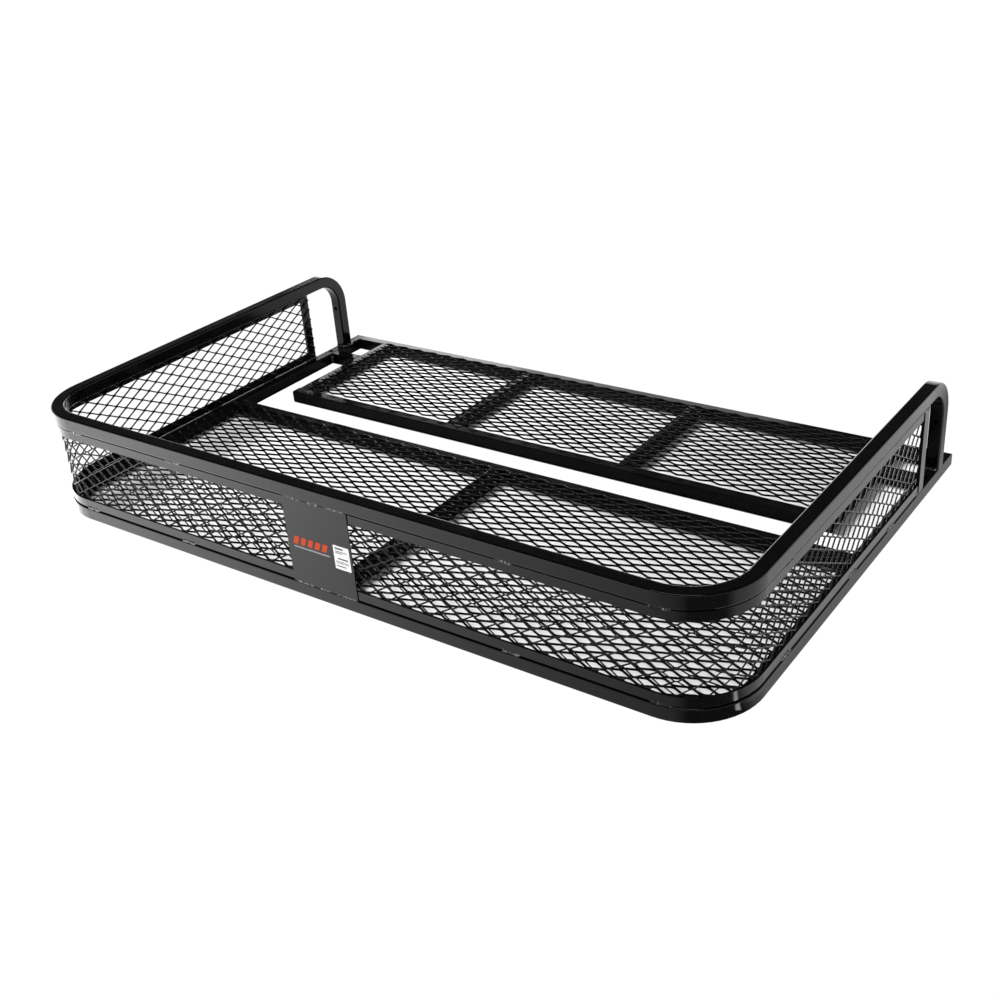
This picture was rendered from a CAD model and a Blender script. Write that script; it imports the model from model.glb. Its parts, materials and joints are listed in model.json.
import json
from collections import namedtuple
from math import ceil, cos, floor, pi, radians, sin, sqrt
from random import Random

import bpy
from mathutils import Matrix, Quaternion, Vector


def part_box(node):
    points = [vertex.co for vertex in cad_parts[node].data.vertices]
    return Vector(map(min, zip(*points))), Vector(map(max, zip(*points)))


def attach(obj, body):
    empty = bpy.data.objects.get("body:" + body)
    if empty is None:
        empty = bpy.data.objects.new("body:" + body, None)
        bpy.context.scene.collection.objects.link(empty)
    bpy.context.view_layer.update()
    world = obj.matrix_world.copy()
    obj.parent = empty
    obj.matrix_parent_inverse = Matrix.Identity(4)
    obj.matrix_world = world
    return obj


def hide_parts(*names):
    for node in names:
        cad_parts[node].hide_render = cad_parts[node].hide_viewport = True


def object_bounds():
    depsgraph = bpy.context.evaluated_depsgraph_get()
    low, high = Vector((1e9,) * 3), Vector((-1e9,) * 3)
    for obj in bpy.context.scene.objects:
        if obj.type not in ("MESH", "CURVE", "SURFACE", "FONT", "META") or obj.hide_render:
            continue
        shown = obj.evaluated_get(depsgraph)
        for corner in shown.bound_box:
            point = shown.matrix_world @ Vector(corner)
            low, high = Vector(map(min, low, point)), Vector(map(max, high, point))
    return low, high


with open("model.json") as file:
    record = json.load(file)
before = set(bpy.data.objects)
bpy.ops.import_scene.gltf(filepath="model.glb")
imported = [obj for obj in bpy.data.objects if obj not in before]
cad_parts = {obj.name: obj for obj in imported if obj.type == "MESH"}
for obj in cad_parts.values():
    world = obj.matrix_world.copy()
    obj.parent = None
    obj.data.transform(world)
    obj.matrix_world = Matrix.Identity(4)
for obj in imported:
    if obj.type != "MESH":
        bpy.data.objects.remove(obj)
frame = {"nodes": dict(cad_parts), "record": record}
cad_low, cad_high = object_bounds()

# ---- Places, all read from the frame ----

LEFT, FRONT = cad_low.x, cad_low.y
RIGHT, REAR, TOP = cad_high
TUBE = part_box("base_rail")[1].z
INNER_X = RIGHT - TUBE
RAIL_UNDERSIDE = TOP - TUBE
PLATE_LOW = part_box("nameplate")[0]
LOWER_BAND_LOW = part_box("lower_band")[0]
WALL_LOW, WALL_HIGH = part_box("front_wall_mesh")
CORNER_LOW, CORNER_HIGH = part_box("right_corner_mesh")
SIDE_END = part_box("right_wall_mesh")[1].y
LABEL_LOW, LABEL_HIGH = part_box("label")
SLOT_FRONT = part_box("front_deck_rear_bar")[1].y
SLOT_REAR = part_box("rear_deck_front_bar")[0].y
DECK_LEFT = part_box("rear_deck_left_bar")[0].x
LEG_SETBACK = 0.0590
LEG_FRONT = REAR - LEG_SETBACK
BAND_GAP = LOWER_BAND_LOW.z - TUBE

# ---- Expanded metal: pitches of the diamonds, and the strand's section ----

LONG_WAY = 0.032
SHORT_WAY = 0.0175
STRAND_THICKNESS = 0.0015
STRAND_CHAMFER = 0.0003
BOND_LENGTH = 0.0035
BOND_OVERLAP = 0.9
SHORTEST_SHARE = 0.02
Strand = namedtuple("Strand", "tilt width")
DECK_STRAND = Strand(radians(55), 0.0027)
WALL_STRAND = Strand(radians(48), 0.0021)

# Edges sharper than this stay crisp
CREASE = radians(50)


def piece_from(name, vertices, faces, material):
    """A mesh object with smooth faces and its edges kept crisp, riding on the carrier."""
    mesh = bpy.data.meshes.new(name)
    mesh.from_pydata(vertices, [], faces)
    mesh.validate()
    mesh.shade_smooth()
    mesh.set_sharp_from_angle(angle=CREASE)
    mesh.materials.append(material)
    piece = bpy.data.objects.new(name, mesh)
    bpy.context.scene.collection.objects.link(piece)
    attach(piece, "root")
    return piece


def add_tube(vertices, faces, rings):
    """Skin a closed tube over rings of equal size, with both ends capped."""
    start = len(vertices)
    size = len(rings[0])
    for ring in rings:
        vertices.extend(ring)
    for i in range(len(rings) - 1):
        low = start + i * size
        for j in range(size):
            k = (j + 1) % size
            faces.append((low + j, low + k, low + size + k, low + size + j))
    faces.append(tuple(range(start + size - 1, start - 1, -1)))
    last = start + (len(rings) - 1) * size
    faces.append(tuple(range(last, last + size)))


# ---- Materials ----

EDGE_RADIUS = 0.0016
# Cosines of how far a rounded edge turns the normal, where it starts to count and where it counts fully
EDGE_STARTS, EDGE_FULL = 0.98, 0.80
SCUFF_SCALE, SPECK_SCALE, PATCH_SCALE = 55.0, 900.0, 14.0
SPECK_SHARE = 0.5
PATCH_SMOOTH, PATCH_ROUGH = 0.75, 1.35
WORN_ROUGHNESS = 0.18
PEEL_HEIGHT = 0.0002
MOTTLE_SCALE, GRAIN_SCALE = 600.0, 1500.0
GRAIN_STRENGTH, GRAIN_HEIGHT = 0.1, 0.0001
def node(tree, kind, **settings):
    made = tree.nodes.new(kind)
    for key, value in settings.items():
        setattr(made, key, value)
    return made


def noise(tree, position, scale, detail=3.0):
    made = node(tree, "ShaderNodeTexNoise")
    made.inputs["Scale"].default_value = scale
    made.inputs["Detail"].default_value = detail
    tree.links.new(position, made.inputs["Vector"])
    return made.outputs["Fac"]


def remap(tree, value, low, high, out_low, out_high):
    made = node(tree, "ShaderNodeMapRange")
    for key, number in (("From Min", low), ("From Max", high), ("To Min", out_low), ("To Max", out_high)):
        made.inputs[key].default_value = number
    tree.links.new(value, made.inputs["Value"])
    return made.outputs["Result"]


def mix_color(tree, factor, low, high):
    made = node(tree, "ShaderNodeMix", data_type="RGBA")
    tree.links.new(factor, made.inputs["Factor"])
    for socket, color in ((made.inputs["A"], low), (made.inputs["B"], high)):
        if isinstance(color, tuple):
            socket.default_value = (*color, 1.0)
        else:
            tree.links.new(color, socket)
    return made.outputs["Result"]


def arithmetic(tree, operation, first, second):
    made = node(tree, "ShaderNodeMath", operation=operation)
    for socket, value in zip(made.inputs, (first, second)):
        if isinstance(value, (int, float)):
            socket.default_value = value
        else:
            tree.links.new(value, socket)
    return made.outputs["Value"]


def edge_mask(tree, radius):
    """1 on edges and 0 on flat faces, from how far a rounded edge turns the normal."""
    bevel = node(tree, "ShaderNodeBevel", samples=4)
    bevel.inputs["Radius"].default_value = radius
    geometry = node(tree, "ShaderNodeNewGeometry")
    dot = node(tree, "ShaderNodeVectorMath", operation="DOT_PRODUCT")
    tree.links.new(bevel.outputs["Normal"], dot.inputs[0])
    tree.links.new(geometry.outputs["Normal"], dot.inputs[1])
    return remap(tree, dot.outputs["Value"], EDGE_STARTS, EDGE_FULL, 0.0, 1.0)


def gloss_paint(name, color, worn, roughness, shine, peel, peel_scale):
    """Baked gloss enamel: orange peel, fine dust under the film, and rubbed edges."""
    material = bpy.data.materials.new(name)
    material.use_nodes = True
    tree = material.node_tree
    shader = tree.nodes["Principled BSDF"]
    shader.inputs["Specular IOR Level"].default_value = shine
    position = node(tree, "ShaderNodeTexCoord").outputs["Object"]
    edges = edge_mask(tree, EDGE_RADIUS)
    scuffs = remap(tree, noise(tree, position, SCUFF_SCALE, 6.0), 0.45, 0.68, 0.0, 1.0)
    wear = arithmetic(tree, "MULTIPLY", edges, scuffs)
    specks = remap(tree, noise(tree, position, SPECK_SCALE, 1.0), 0.66, 0.74, 0.0, 1.0)
    base = mix_color(tree, wear, color, worn)
    dusty = mix_color(tree, arithmetic(tree, "MULTIPLY", specks, SPECK_SHARE), base, worn)
    tree.links.new(dusty, shader.inputs["Base Color"])
    smooth, rough = roughness * PATCH_SMOOTH, roughness * PATCH_ROUGH
    patches = remap(tree, noise(tree, position, PATCH_SCALE, 4.0), 0.3, 0.7, smooth, rough)
    worn_share = arithmetic(tree, "MULTIPLY", wear, WORN_ROUGHNESS)
    tree.links.new(arithmetic(tree, "ADD", patches, worn_share), shader.inputs["Roughness"])
    bump = node(tree, "ShaderNodeBump")
    bump.inputs["Strength"].default_value = peel
    bump.inputs["Distance"].default_value = PEEL_HEIGHT
    tree.links.new(noise(tree, position, peel_scale, 3.0), bump.inputs["Height"])
    tree.links.new(bump.outputs["Normal"], shader.inputs["Normal"])
    return material


BLACK = (0.002, 0.002, 0.0022)
RUBBED = (0.03, 0.029, 0.028)
tube_paint = gloss_paint(
    "tube_gloss_black", BLACK, RUBBED,
    roughness=0.12, shine=0.25, peel=0.12, peel_scale=420.0,
)
bar_paint = gloss_paint(
    "flat_bar_gloss_black", (0.002, 0.002, 0.0023), RUBBED,
    roughness=0.15, shine=0.27, peel=0.16, peel_scale=380.0,
)
mesh_paint = gloss_paint(
    "expanded_metal_black", BLACK, (0.025, 0.025, 0.025),
    roughness=0.17, shine=0.3, peel=0.2, peel_scale=700.0,
)
weld_paint = gloss_paint(
    "weld_bead_black", (0.003, 0.003, 0.0033), (0.05, 0.048, 0.045),
    roughness=0.1, shine=1.0, peel=0.8, peel_scale=500.0,
)
weld_shader = weld_paint.node_tree.nodes["Principled BSDF"]
weld_shader.inputs["Coat Weight"].default_value = 1.0
weld_shader.inputs["Coat Roughness"].default_value = 0.08

def ink(name, color, faded, roughness):
    """Printed film with a faint mottle and a satin face."""
    material = bpy.data.materials.new(name)
    material.use_nodes = True
    tree = material.node_tree
    shader = tree.nodes["Principled BSDF"]
    position = node(tree, "ShaderNodeTexCoord").outputs["Object"]
    mottle = remap(tree, noise(tree, position, MOTTLE_SCALE, 4.0), 0.35, 0.7, 0.0, 1.0)
    tree.links.new(mix_color(tree, mottle, color, faded), shader.inputs["Base Color"])
    grain = noise(tree, position, GRAIN_SCALE, 2.0)
    satin = remap(tree, grain, 0.3, 0.7, roughness * 0.8, roughness * 1.2)
    tree.links.new(satin, shader.inputs["Roughness"])
    bump = node(tree, "ShaderNodeBump")
    bump.inputs["Strength"].default_value = GRAIN_STRENGTH
    bump.inputs["Distance"].default_value = GRAIN_HEIGHT
    tree.links.new(grain, bump.inputs["Height"])
    tree.links.new(bump.outputs["Normal"], shader.inputs["Normal"])
    return material


# The emblem's film is orange, and grey below the height that divides its bars from the stripe
STRIPE_LINE = 0.074
STRIPE_EDGE = 0.001
STRIPE_GRAY = (0.33, 0.33, 0.34)
emblem_ink = ink("emblem_orange", (0.62, 0.062, 0.009), (0.52, 0.05, 0.009), 0.4)
tree = emblem_ink.node_tree
emblem_shader = tree.nodes["Principled BSDF"]
emblem_shader.inputs["Specular IOR Level"].default_value = 0.1
emblem_orange = emblem_shader.inputs["Base Color"].links[0].from_socket
heights = node(tree, "ShaderNodeSeparateXYZ")
tree.links.new(node(tree, "ShaderNodeNewGeometry").outputs["Position"], heights.inputs["Vector"])
in_stripe = remap(tree, heights.outputs["Z"], STRIPE_LINE, STRIPE_LINE + STRIPE_EDGE, 1.0, 0.0)
two_colors = mix_color(tree, in_stripe, emblem_orange, STRIPE_GRAY)
tree.links.new(two_colors, emblem_shader.inputs["Base Color"])
label_stock = ink("label_white", (0.90, 0.90, 0.91), (0.82, 0.82, 0.84), 0.5)
label_ink = ink("label_gray_print", (0.03, 0.03, 0.035), (0.08, 0.08, 0.085), 0.5)

SLOT_PAINTS = {
    "tube_paint": tube_paint,
    "flat_bar_paint": bar_paint,
    "mesh_paint": mesh_paint,
    "emblem_ink": emblem_ink,
    "label_stock": label_stock,
}
for row in frame["record"]["subparts"]:
    carried = frame["nodes"][row["node"]].data.materials
    carried.clear()
    carried.append(SLOT_PAINTS[row["material_slot"]])


# ---- Expanded metal strands ----

def strand_swing(strand):
    """How far a strand swings to each side of its middle line."""
    return SHORT_WAY / 4 - BOND_OVERLAP * strand.width / 2 * cos(strand.tilt)


def strand_run(parity, middle, strand, start, end):
    """Corner points of one zigzag strand: along, across, and the share of the bond's lift."""
    swing = strand_swing(strand)
    lift = BOND_OVERLAP * strand.width / 2 * sin(strand.tilt)
    half = LONG_WAY / 2
    points = []
    for bond in range(floor(start / half) - 1, ceil(end / half) + 2):
        side = 1 if (bond + parity) % 2 == 0 else -1
        for edge in (-BOND_LENGTH / 2, BOND_LENGTH / 2):
            points.append(Vector((bond * half + edge, middle + side * swing, -side * lift)))
    return points


def clipped(points, planes):
    """The parts of a strand's line inside a convex outline given by its half-planes."""
    runs = []
    current = []
    for a, b in zip(points, points[1:]):
        enter, leave = 0.0, 1.0
        for along, across, limit in planes:
            from_a = along * a.x + across * a.y - limit
            from_b = along * b.x + across * b.y - limit
            if from_a > 0 and from_b > 0:
                leave = -1.0
            elif from_a > 0:
                enter = max(enter, from_a / (from_a - from_b))
            elif from_b > 0:
                leave = min(leave, from_a / (from_a - from_b))
        if leave - enter < SHORTEST_SHARE:
            if len(current) > 1:
                runs.append(current)
            current = []
            continue
        if enter > 0 or not current:
            if len(current) > 1:
                runs.append(current)
            current = [a.lerp(b, enter)]
        current.append(a.lerp(b, leave))
        if leave < 1:
            runs.append(current)
            current = []
    if len(current) > 1:
        runs.append(current)
    return runs


def strand_rings(run, strand, place):
    """Sheared-strip sections along a strand, tilted out of the sheet as the press leaves them."""
    w, t, c = strand.width / 2, STRAND_THICKNESS / 2, STRAND_CHAMFER
    outline = (
        (w, t - c), (w - c, t), (c - w, t), (-w, t - c),
        (-w, c - t), (c - w, -t), (w - c, -t), (w, c - t),
    )
    rings = []
    for i, point in enumerate(run):
        before, after = run[max(i - 1, 0)], run[min(i + 1, len(run) - 1)]
        tangent = Vector((after.x - before.x, after.y - before.y, 0)).normalized()
        side = Vector((-tangent.y, tangent.x, 0))
        across = side * cos(strand.tilt) + Vector((0, 0, sin(strand.tilt)))
        up = tangent.cross(across)
        rings.append([place(point + across * a + up * b) for a, b in outline])
    return rings


def expanded_sheet(name, node_name, rows, strand, start, end, planes, place):
    """All the strands of one sheet, joined at their bonds, standing for its CAD node."""
    vertices, faces = [], []
    for parity, middle in rows:
        for run in clipped(strand_run(parity, middle, strand, start, end), planes):
            add_tube(vertices, faces, strand_rings(run, strand, place))
    sheet = piece_from(name, vertices, faces, mesh_paint)
    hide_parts(node_name)


def sheet_rise(strand):
    """Half the thickness that the tilted, bonded strands take up."""
    tilted = strand.width * sin(strand.tilt) * (BOND_OVERLAP + 1) / 2
    return tilted + STRAND_THICKNESS / 2 * cos(strand.tilt)


STRAND_STEP = SHORT_WAY / 2
CORNER_STEPS = 6
FRONT_DECK_CORNER = 0.0735


def deck_sheet(name, node_name, corner):
    """A sheet laid on the deck's tubes. Its front corners are cut round, unless corner is 0."""
    low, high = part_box(node_name)
    middle = (low + high) / 2
    half_length, half_depth = (high.x - low.x) / 2, (high.y - low.y) / 2
    planes = [(1, 0, half_length), (-1, 0, half_length)]
    if corner:
        for side in (-1, 1):
            for step in range(CORNER_STEPS):
                turn = (step + 0.5) / CORNER_STEPS * pi / 2
                limit = corner + cos(turn) * (half_length - corner) + sin(turn) * (half_depth - corner)
                planes.append((side * cos(turn), -sin(turn), limit))
    reach = strand_swing(DECK_STRAND) + DECK_STRAND.width / 2 * cos(DECK_STRAND.tilt)
    count = floor(2 * (half_depth - reach) / STRAND_STEP) + 1
    rows = [(i, (i - (count - 1) / 2) * STRAND_STEP) for i in range(count)]
    rise = TUBE + sheet_rise(DECK_STRAND)

    def place(point):
        return Vector((middle.x + point.x, middle.y + point.y, rise + point.z))

    expanded_sheet(name, node_name, rows, DECK_STRAND, -half_length, half_length, planes, place)


deck_sheet("front_deck_expanded_metal", "front_deck_mesh", FRONT_DECK_CORNER)
deck_sheet("rear_deck_expanded_metal", "rear_deck_mesh", 0.0)

BEND_X = CORNER_LOW.x
BEND_Y = CORNER_HIGH.y
BEND_RADIUS = CORNER_HIGH.x - CORNER_LOW.x - sheet_rise(WALL_STRAND)
BEND_LENGTH = BEND_RADIUS * pi / 2
SIDE_LENGTH = SIDE_END - BEND_Y
WALL_MIDDLE = (WALL_LOW.z + WALL_HIGH.z) / 2
WALL_HALF_HEIGHT = (WALL_HIGH.z - WALL_LOW.z) / 2


def on_wall(point):
    """The wall strip's place in the basket: along from the middle of the front, up, and in."""
    side = 1 if point.x >= 0 else -1
    along = abs(point.x)
    inward = -point.z
    if along <= BEND_X:
        spot = (along, BEND_Y - BEND_RADIUS + inward)
    elif along <= BEND_X + BEND_LENGTH:
        turn = (along - BEND_X) / BEND_RADIUS
        reach = BEND_RADIUS - inward
        spot = (BEND_X + reach * sin(turn), BEND_Y - reach * cos(turn))
    else:
        spot = (BEND_X + BEND_RADIUS - inward, BEND_Y + along - BEND_X - BEND_LENGTH)
    return Vector((side * spot[0], spot[1], WALL_MIDDLE + point.y))


top_row = ceil(WALL_HALF_HEIGHT / STRAND_STEP)
WALL_ROWS = [(row, row * STRAND_STEP) for row in range(-top_row, top_row + 1)]
wall_ends = {
    "front_wall": (-BEND_X, BEND_X),
    "right_corner": (BEND_X, BEND_X + BEND_LENGTH),
    "left_corner": (-BEND_X - BEND_LENGTH, -BEND_X),
    "right_wall": (BEND_X + BEND_LENGTH, BEND_X + BEND_LENGTH + SIDE_LENGTH),
    "left_wall": (-BEND_X - BEND_LENGTH - SIDE_LENGTH, -BEND_X - BEND_LENGTH),
}
for name, (start, end) in wall_ends.items():
    planes = [(1, 0, end), (-1, 0, -start), (0, 1, WALL_HALF_HEIGHT), (0, -1, WALL_HALF_HEIGHT)]
    expanded_sheet(
        name + "_expanded_metal", name + "_mesh",
        WALL_ROWS, WALL_STRAND, start, end, planes, on_wall,
    )


# ---- Weld beads ----

RING_SIDES = 9
RIPPLE = 0.0016
SKIN = 0.00005
# Shares of a bead's radius
END_SIZE, TAPER_SLOPE = 0.4, 6
CREST, TROUGH, UNEVEN = 0.2, -0.16, 0.12
WANDER = 0.2
ROUGH_LOW, ROUGH_HIGH = 0.88, 1.12


def inside_box(point):
    """The point, held just inside the outline of the carrier."""
    limits = zip(point, cad_low, cad_high)
    return Vector([min(max(value, low + SKIN), high - SKIN) for value, low, high in limits])


def bead(vertices, faces, random, start, end, radius):
    """One hand-laid bead from start to end: overlapping ripples, tapering at both ends."""
    start, end = Vector(start), Vector(end)
    run = end - start
    steps = max(4, round(run.length / RIPPLE) * 2)
    tangent = run.normalized()
    side = tangent.orthogonal().normalized()
    up = tangent.cross(side)
    rings = []
    for step in range(steps + 1):
        share = step / steps
        taper = min(1.0, END_SIZE + TAPER_SLOPE * min(share, 1 - share))
        ripple = CREST if step % 2 else TROUGH
        swell = radius * taper * (1.0 + ripple + random.uniform(-UNEVEN, UNEVEN))
        sway = side * random.uniform(-WANDER, WANDER) + up * random.uniform(-WANDER, WANDER)
        center = start + run * share + sway * radius
        ring = []
        for i in range(RING_SIDES):
            angle = 2 * pi * i / RING_SIDES
            reach = swell * random.uniform(ROUGH_LOW, ROUGH_HIGH)
            ring.append(inside_box(center + (side * cos(angle) + up * sin(angle)) * reach))
        rings.append(ring)
    add_tube(vertices, faces, rings)


def welds(name, beads, seed):
    """Several beads as one piece, in the paint that covers the whole frame."""
    random = Random(seed)
    vertices, faces = [], []
    for start, end, radius in beads:
        bead(vertices, faces, random, start, end, radius)
    piece_from(name, vertices, faces, weld_paint)


STITCH = 0.025
BEAD = 0.0027
PLATE_BEAD = 0.0022
FOOT_BEAD = 0.0031
JOINT_BEAD = 0.0024

# Stitches across the gaps between the bands and the rails
FRONT_STITCHES = (-0.441, -0.246, 0.277, 0.465)
SIDE_STITCHES = (0.145, 0.335, 0.460, 0.565)
STITCH_DEPTH = 0.0033
stitch_heights = (RAIL_UNDERSIDE - BAND_GAP / 2, TUBE + BAND_GAP / 2)


def front_seam(x, z):
    """A point in the gap at the front, set back where the rails have started to bend."""
    radius = RIGHT - BEND_X
    past = max(abs(x) - BEND_X, 0.0)
    return (x, FRONT + STITCH_DEPTH + radius - sqrt(radius ** 2 - past ** 2), z)


front_seams = []
for x in FRONT_STITCHES:
    for z in stitch_heights:
        front_seams.append((front_seam(x - STITCH / 2, z), front_seam(x, z), BEAD))
        front_seams.append((front_seam(x, z), front_seam(x + STITCH / 2, z), BEAD))
welds("front_stitch_welds", front_seams, 11)

side_seams = []
for distance in SIDE_STITCHES:
    y = FRONT + distance
    for side in (-1, 1):
        for z in stitch_heights:
            x = side * (RIGHT - STITCH_DEPTH)
            side_seams.append(((x, y - STITCH / 2, z), (x, y + STITCH / 2, z), BEAD))
welds("side_stitch_welds", side_seams, 12)

# Beads along the nameplate's upper and lower edge, from and to these distances from its left end
PLATE_RUNS = ((0.001, 0.034), (0.042, 0.060), (0.068, 0.103))
PLATE_WELD_DEPTH = 0.0021
plate_seams = []
plate_weld_y = PLATE_LOW.y + PLATE_WELD_DEPTH
for z in (RAIL_UNDERSIDE, TUBE):
    for start, end in PLATE_RUNS:
        x0, x1 = PLATE_LOW.x + start, PLATE_LOW.x + end
        plate_seams.append(((x0, plate_weld_y, z), (x1, plate_weld_y, z), PLATE_BEAD))
welds("plate_welds", plate_seams, 13)

# Beads round each leg's foot, except on the outer face
FOOT_INSET = 0.0025
FOOT_PROUD = 0.0004
leg_seams = []
for side in (-1, 1):
    outer, inner = side * (RIGHT - FOOT_INSET), side * (INNER_X - FOOT_PROUD)
    for y in (LEG_FRONT - FOOT_PROUD, LEG_FRONT + TUBE + FOOT_PROUD):
        leg_seams.append(((outer, y, TUBE), (inner, y, TUBE), FOOT_BEAD))
    leg_seams.append(((inner, LEG_FRONT, TUBE), (inner, LEG_FRONT + TUBE, TUBE), FOOT_BEAD))
welds("leg_foot_welds", leg_seams, 14)


def corner_pair(low, high, along):
    """Upright fillet beads where a bar's two sides meet the rails at both its ends."""
    corners = [(x, y) for x in (low.x, high.x) for y in (low.y, high.y)]
    if along == "y":
        corners.sort(key=lambda corner: corner[1])
    low_end, high_end = TUBE * 0.12, TUBE * 0.88
    return [((x, y, low_end), (x, y, high_end), JOINT_BEAD) for x, y in corners]


joint_seams = []
for name, along in (
    ("front_deck_rear_bar", "x"),
    ("front_deck_center_bar", "y"),
    ("rear_deck_left_bar", "y"),
    ("rear_deck_left_crossbar", "y"),
    ("rear_deck_right_crossbar", "y"),
    ("rear_deck_right_bar", "y"),
    ("left_tie_stub", "x"),
    ("right_tie_stub", "x"),
):
    joint_seams += corner_pair(*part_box(name), along)
welds("deck_joint_welds", joint_seams, 15)

# ---- Print on the label: a heading, lines and a bar strip, all blank shapes ----

# Each row: its middle's height, its thickness, and where it starts and ends, as shares of the label
LABEL_ROWS = (
    (0.88, 0.075, 0.10, 0.62),
    (0.76, 0.035, 0.10, 0.86),
    (0.69, 0.035, 0.10, 0.56),
    (0.46, 0.060, 0.22, 0.88),
    (0.14, 0.045, 0.10, 0.70),
)
STRIP_HEIGHTS = (0.24, 0.36)
STRIP_START, STRIP_LENGTH = 0.11, 0.78
STRIP_BARS = 13
THIN_BAR, THICK_BAR = 0.3, 0.7
PRINT_THICKNESS = 0.00003
label_width = LABEL_HIGH.x - LABEL_LOW.x
label_height = LABEL_HIGH.z - LABEL_LOW.z


def add_print(vertices, faces, x0, x1, z0, z1):
    """A thin raised patch of ink on the label's face, placed by shares of the label."""
    a = len(vertices)
    for y in (LABEL_LOW.y - PRINT_THICKNESS, LABEL_LOW.y + PRINT_THICKNESS):
        for u, v in ((x0, z0), (x1, z0), (x1, z1), (x0, z1)):
            x = LABEL_LOW.x + u * label_width
            vertices.append(Vector((x, y, LABEL_LOW.z + v * label_height)))
    faces += [(a, a + 1, a + 2, a + 3), (a + 7, a + 6, a + 5, a + 4)]
    faces += [(a + i, a + 4 + i, a + 4 + (i + 1) % 4, a + (i + 1) % 4) for i in range(4)]


print_vertices, print_faces = [], []
for height, thickness, start, end in LABEL_ROWS:
    add_print(print_vertices, print_faces, start, end, height - thickness / 2, height + thickness / 2)
bar_random = Random(16)
bar_pitch = STRIP_LENGTH / STRIP_BARS
for i in range(STRIP_BARS):
    start = STRIP_START + i * bar_pitch
    end = start + bar_pitch * bar_random.uniform(THIN_BAR, THICK_BAR)
    add_print(print_vertices, print_faces, start, end, *STRIP_HEIGHTS)
piece_from("label_print", print_vertices, print_faces, label_ink)

# ---- Stage: floor, light and camera ----

HALF_FLOOR = 7.0
floor_mesh = bpy.data.meshes.new("floor")
floor_corners = [(-HALF_FLOOR, -HALF_FLOOR, 0), (HALF_FLOOR, -HALF_FLOOR, 0)]
floor_corners += [(HALF_FLOOR, HALF_FLOOR, 0), (-HALF_FLOOR, HALF_FLOOR, 0)]
floor_mesh.from_pydata(floor_corners, [], [(0, 1, 2, 3)])
ground = bpy.data.objects.new("floor", floor_mesh)
bpy.context.scene.collection.objects.link(ground)
paper = bpy.data.materials.new("white_sweep")
paper.use_nodes = True
tree = paper.node_tree
paper_shader = tree.nodes["Principled BSDF"]
paper_shader.inputs["Roughness"].default_value = 0.9
paper_shader.inputs["Specular IOR Level"].default_value = 0.0
floor_mesh.materials.append(paper)

# The floor has one look for the camera, which is plain white outside the carrier and in the open slots.
# It has another for what the paint reflects of it. That is dark under the carrier, and elsewhere
# brightens to the left and in front. It is dimmer beside the right rail, dimmer still by the right leg,
# and darkest off the near corner, with one short bright strip beside the right rail.
CAMERA_FLOOR, BOUNCE_FLOOR = 1.02, 1.9
OPEN_PAPER, SHADED_PAPER = (0.82, 0.82, 0.82), (0.12, 0.12, 0.12)
GLOW_NONE_X, GLOW_FULL_X, GLOW_POWER = 0.56, -0.62, 1.4
FRONT_GLOW, INNER_GLOW, FRONT_REACH = 3.6, 0.6, 0.2
BESIDE_FROM, BESIDE_TO, BESIDE_LOW, BESIDE_HIGH = 0.008, 0.012, 0.6, 1.05
BEHIND_FROM, BEHIND_TO, BEHIND_GLOW = 0.1, 0.3, 0.5
LEG_SLOPE, LEG_LINE_BACK = 3.5, 0.08
LEG_SHADE_BAND = (0.011, 0.09)
LEG_SHADE_FROM, LEG_SHADE_TO, LEG_SHADE_LOW, LEG_SHADE_HIGH = 0.016, 0.085, 0.35, 0.95
CORNER_CENTER, CORNER_BEARING = 0.08, radians(-42)
CORNER_DARK, CORNER_CLEAR, CORNER_GLOW = radians(24), radians(38), 0.1
STRIP_Y, STRIP_BRIGHT, STRIP_END, STRIP_GLOW, STRIP_REACH = -0.3, 0.002, 0.005, 7.0, 0.04

parts = node(tree, "ShaderNodeSeparateXYZ")
tree.links.new(node(tree, "ShaderNodeNewGeometry").outputs["Position"], parts.inputs["Vector"])
floor_x, floor_y = parts.outputs["X"], parts.outputs["Y"]
rays = node(tree, "ShaderNodeLightPath")
glossy = rays.outputs["Is Glossy Ray"]


def plus(first, second):
    return arithmetic(tree, "ADD", first, second)


def minus(first, second):
    return arithmetic(tree, "SUBTRACT", first, second)


def times(first, second):
    return arithmetic(tree, "MULTIPLY", first, second)


def size_of(value):
    return arithmetic(tree, "ABSOLUTE", value, 0.0)


def between(value, low, high):
    """1 where the value lies in the range, and 0 elsewhere."""
    above = arithmetic(tree, "GREATER_THAN", value, low)
    return times(above, arithmetic(tree, "LESS_THAN", value, high))


def squared_past(value):
    """The square of how far a value is past 0."""
    return arithmetic(tree, "POWER", arithmetic(tree, "MAXIMUM", value, 0.0), 2.0)


footprint = times(
    between(floor_x, LEFT + TUBE / 2, RIGHT - TUBE / 2),
    between(floor_y, FRONT + TUBE / 2, REAR - TUBE / 2),
)
past_x = minus(size_of(floor_x), CORNER_LOW.x)
past_y = minus(CORNER_HIGH.y, floor_y)
reach = arithmetic(tree, "SQRT", plus(squared_past(past_x), squared_past(past_y)), 0.0)
corner_radius = RIGHT - CORNER_LOW.x - TUBE / 2
under = times(footprint, arithmetic(tree, "LESS_THAN", reach, corner_radius))
side_slot = times(between(floor_x, LEFT, DECK_LEFT), between(floor_y, SLOT_FRONT, REAR))
slots = arithmetic(tree, "MAXIMUM", between(floor_y, SLOT_FRONT, SLOT_REAR), side_slot)
seen_slots = times(slots, rays.outputs["Is Camera Ray"])
paper_color = mix_color(tree, times(glossy, under), OPEN_PAPER, SHADED_PAPER)
tree.links.new(paper_color, paper_shader.inputs["Base Color"])

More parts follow.
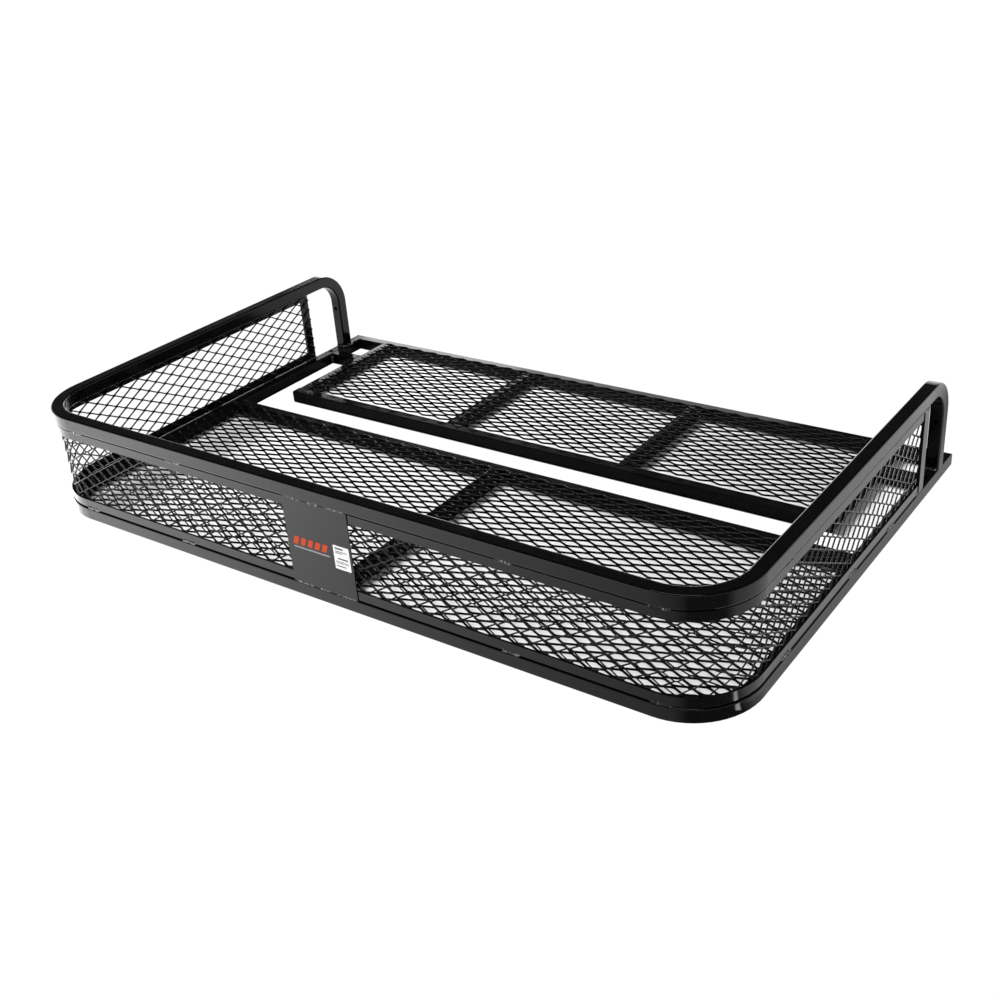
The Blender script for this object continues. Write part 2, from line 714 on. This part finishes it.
to_left = remap(tree, floor_x, GLOW_NONE_X, GLOW_FULL_X, 0.0, 1.0)
in_front = remap(tree, floor_y, FRONT, FRONT + FRONT_REACH, FRONT_GLOW, INNER_GLOW)
left_glow = times(arithmetic(tree, "POWER", to_left, GLOW_POWER), in_front)
beside = remap(tree, floor_x, RIGHT + BESIDE_FROM, RIGHT + BESIDE_TO, BESIDE_LOW, BESIDE_HIGH)
leg_line = minus(floor_y, times(floor_x, LEG_SLOPE))
past_line = arithmetic(tree, "GREATER_THAN", leg_line, REAR - LEG_SLOPE * RIGHT - LEG_LINE_BACK)
by_leg = times(past_line, between(floor_x, RIGHT + LEG_SHADE_BAND[0], RIGHT + LEG_SHADE_BAND[1]))
leg_shade = remap(
    tree, floor_x,
    RIGHT + LEG_SHADE_FROM, RIGHT + LEG_SHADE_TO, LEG_SHADE_LOW, LEG_SHADE_HIGH,
)
lit_share = minus(1.0, times(by_leg, leg_shade))
behind = remap(tree, floor_y, REAR + BEHIND_FROM, REAR + BEHIND_TO, 0.0, BEHIND_GLOW)
open_glow = plus(left_glow, times(plus(behind, beside), lit_share))
bearing = arithmetic(
    tree, "ARCTAN2",
    minus(floor_y, FRONT + CORNER_CENTER), minus(floor_x, RIGHT - CORNER_CENTER),
)
off_axis = size_of(minus(bearing, CORNER_BEARING))
corner_shade = remap(tree, off_axis, CORNER_DARK, CORNER_CLEAR, CORNER_GLOW, 1.0)
off_strip = size_of(minus(floor_y, STRIP_Y))
strip_glow = remap(tree, off_strip, STRIP_BRIGHT, STRIP_END, STRIP_GLOW, 0.0)
strip = times(strip_glow, between(floor_x, RIGHT, RIGHT + STRIP_REACH))
glow = plus(times(open_glow, corner_shade), strip)

strength = node(tree, "ShaderNodeMix", data_type="FLOAT")
seen_strength = remap(tree, rays.outputs["Is Camera Ray"], 0.0, 1.0, BOUNCE_FLOOR, CAMERA_FLOOR)
tree.links.new(glossy, strength.inputs[0])
tree.links.new(seen_strength, strength.inputs[2])
tree.links.new(glow, strength.inputs[3])
lit = node(tree, "ShaderNodeEmission")
tree.links.new(strength.outputs[0], lit.inputs["Strength"])
blend = node(tree, "ShaderNodeMixShader")
tree.links.new(minus(under, seen_slots), blend.inputs["Fac"])
tree.links.new(lit.outputs["Emission"], blend.inputs[1])
tree.links.new(paper_shader.outputs["BSDF"], blend.inputs[2])
tree.links.new(blend.outputs["Shader"], tree.nodes["Material Output"].inputs["Surface"])

# The room: even grey light, but for what shines only a bright band along the horizon
ROOM_GRAY = (0.34, 0.34, 0.34)
BAND_FROM, BAND_TO = 0.15, 0.30
BAND_GLOW, SKY_GLOW = 1.8, 0.03
world = bpy.data.worlds.new("studio")
bpy.context.scene.world = world
world.use_nodes = True
tree = world.node_tree
sky = tree.nodes["Background"]
height = node(tree, "ShaderNodeSeparateXYZ")
tree.links.new(node(tree, "ShaderNodeTexCoord").outputs["Generated"], height.inputs["Vector"])
band = remap(tree, height.outputs["Z"], BAND_FROM, BAND_TO, BAND_GLOW, SKY_GLOW)
path = node(tree, "ShaderNodeLightPath")
tree.links.new(mix_color(tree, path.outputs["Is Glossy Ray"], ROOM_GRAY, band), sky.inputs["Color"])


def panel(name, place, aim, width, height, radiance, roll=0.0):
    """A soft rectangular light facing its aim. It shows only in what shines."""
    light = bpy.data.lights.new(name, "AREA")
    light.shape = "RECTANGLE"
    light.size, light.size_y = width, height
    light.energy = radiance * pi * width * height
    lamp = bpy.data.objects.new(name, light)
    lamp.location = place
    lamp.rotation_mode = "QUATERNION"
    facing = (Vector(aim) - Vector(place)).to_track_quat("-Z", "Y")
    lamp.rotation_quaternion = facing @ Quaternion((0, 0, 1), roll)
    lamp.visible_camera = False
    lamp.visible_diffuse = False
    bpy.context.scene.collection.objects.link(lamp)
    return lamp


# Walls of light behind, dimmer to the right and fading out at the top, and one slanting bright band.
# Each row: its left and right end, its bottom and top, and its radiance.
BACK_WALL_Y = 3.0
BACK_PANELS = (
    (-3.0, -2.1, 0.0, 1.4, 5.2),
    (-2.1, -1.6, 0.0, 1.4, 2.3),
    (-1.6, -0.85, 0.0, 1.4, 1.5),
)
FADE_HEIGHT = 0.14
FADE_SHARE = 0.4
CARRIER_MIDDLE = (0, 0, 0.1)
for i, (left, right, low, high, radiance) in enumerate(BACK_PANELS):
    for j, (z0, z1, share) in enumerate(((low, high, 1.0), (high, high + FADE_HEIGHT, FADE_SHARE))):
        x, z = (left + right) / 2, (z0 + z1) / 2
        place, aim = (x, BACK_WALL_Y, z), (x, 0.0, z)
        panel(f"back_panel_{i}_{j}", place, aim, right - left, z1 - z0, radiance * share)
panel("left_band", (-3.185, BACK_WALL_Y, 1.565), (-3.185, 0, 1.565), 0.54, 0.09, 5.0, radians(29))

# The main light, high at the rear left, lights what is dull and doesn't show in what shines
key = panel("key_softbox", (-1.6, 0.8, 2.2), CARRIER_MIDDLE, 1.0, 1.0, 43.0)
key.visible_diffuse = True
key.visible_glossy = False
# A strip in front adds thin highlights
panel("front_softbox", (0.3, -0.9, 2.3), CARRIER_MIDDLE, 1.6, 0.4, 7.0)

CAMERA_PLACE = (0.99643, -1.29132, 0.85360)
CAMERA_FORWARD = Vector((-0.5327, 0.7013, -0.4737))
CAMERA_ROLL = radians(-4.70)
camera_data = bpy.data.cameras.new("camera")
camera_data.lens = 46.39
camera_data.sensor_width = 36.0
camera = bpy.data.objects.new("camera", camera_data)
camera.location = CAMERA_PLACE
camera.rotation_mode = "QUATERNION"
camera.rotation_quaternion = CAMERA_FORWARD.to_track_quat("-Z", "Y") @ Quaternion((0, 0, 1), CAMERA_ROLL)
bpy.context.scene.collection.objects.link(camera)
bpy.context.scene.camera = camera
bpy.context.scene.view_settings.view_transform = "Standard"
